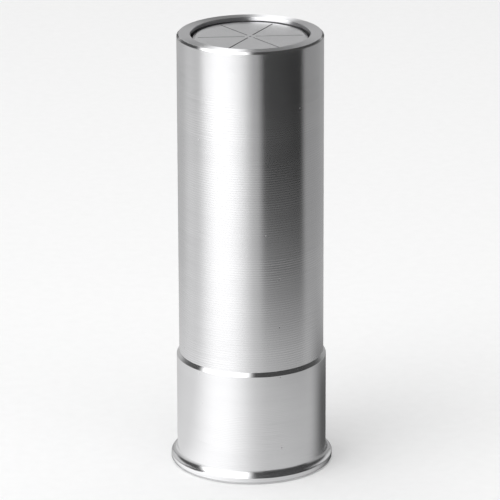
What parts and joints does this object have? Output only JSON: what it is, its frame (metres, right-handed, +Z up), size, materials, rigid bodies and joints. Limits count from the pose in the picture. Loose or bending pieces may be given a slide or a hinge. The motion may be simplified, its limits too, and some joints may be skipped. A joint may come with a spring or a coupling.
{
  "type": "cartridge shaped take-apart puzzle vault",
  "caption": "Rimmed metal cylinder puzzle with a twist-and-pull sleeve, fling-to-open lock pins and a lidded vault for a rolled note.",
  "frame": {"origin": "centre of the base's flat face", "axes": "+Z up along the cylinder's axis, towards the lid; +X and -X pass through the bayonet pins"},
  "size_m": [0.0336, 0.0336, 0.0918],
  "materials": {
    "turned_aluminium": "fine turned",
    "polished_aluminium": "turned and polished",
    "blasted_aluminium": "bead blasted",
    "bright_aluminium": "bright turned",
    "machined_brass": "bright turned",
    "hard_steel": "ground and polished",
    "spring_steel": "drawn wire",
    "black_oxide": "black oxide",
    "zinc_steel": "zinc plated",
    "nylon": "moulded nylon",
    "black_rubber": "moulded rubber",
    "felt": "pressed felt"
  },
  "bodies": {
    "base": {"head_shell": "polished_aluminium", "primer_cup": "machined_brass", "primer_cap": "zinc_steel", "core_screw": "black_oxide", "screw_washer": "zinc_steel", "core_dowels": "hard_steel", "vault_core": "bright_aluminium", "bayonet_pins": "hard_steel", "vault_pad": "felt", "head_o_ring": "black_rubber", "core_o_ring": "black_rubber", "pin_cage": "bright_aluminium", "thrust_washer": "nylon", "slip_washer": "nylon", "detent_spring": "spring_steel"},
    "tumbler": {"tumbler_ring": "machined_brass"},
    "sleeve": {"hull_sleeve": "turned_aluminium"},
    "lid": {"crimp_lid": "blasted_aluminium", "lid_o_ring": "black_rubber"},
    "lock_pin_1": {"lock_pin_1": "hard_steel"},
    "lock_pin_2": {"lock_pin_2": "hard_steel"},
    "lock_pin_3": {"lock_pin_3": "hard_steel"},
    "lock_pin_4": {"lock_pin_4": "hard_steel"},
    "detent": {"detent_ball": "hard_steel"}
  },
  "joints": [
    {"name": "sleeve_turn", "type": "hinge", "parent": "base", "child": "tumbler", "pos_m": [0, 0, 0.02], "axis": [0, 0, 1], "range_deg": [0, 60]},
    {"name": "sleeve_lift", "type": "slide", "parent": "tumbler", "child": "sleeve", "axis": [0, 0, 1], "range_m": [0, 0.08]},
    {"name": "lid_lift", "type": "slide", "parent": "base", "child": "lid", "axis": [0, 0, 1], "range_m": [0, 0.012]},
    {"name": "lock_pin_1_drop", "type": "slide", "parent": "base", "child": "lock_pin_1", "axis": [-0.9781, 0, -0.2079], "range_m": [0, 0.0026]},
    {"name": "lock_pin_2_drop", "type": "slide", "parent": "base", "child": "lock_pin_2", "axis": [-0.4891, -0.8471, 0.2079], "range_m": [0, 0.0026]},
    {"name": "lock_pin_3_drop", "type": "slide", "parent": "base", "child": "lock_pin_3", "axis": [0.9781, 0, -0.2079], "range_m": [0, 0.0026]},
    {"name": "lock_pin_4_drop", "type": "slide", "parent": "base", "child": "lock_pin_4", "axis": [0.4891, 0.8471, 0.2079], "range_m": [0, 0.0026]},
    {"name": "detent_press", "type": "slide", "parent": "base", "child": "detent", "axis": [0, 0, 1], "range_m": [0, 0.00045], "stiffness_N_per_m": 400, "springref_m": 0.001, "deforming": ["detent_spring"]}
  ]
}
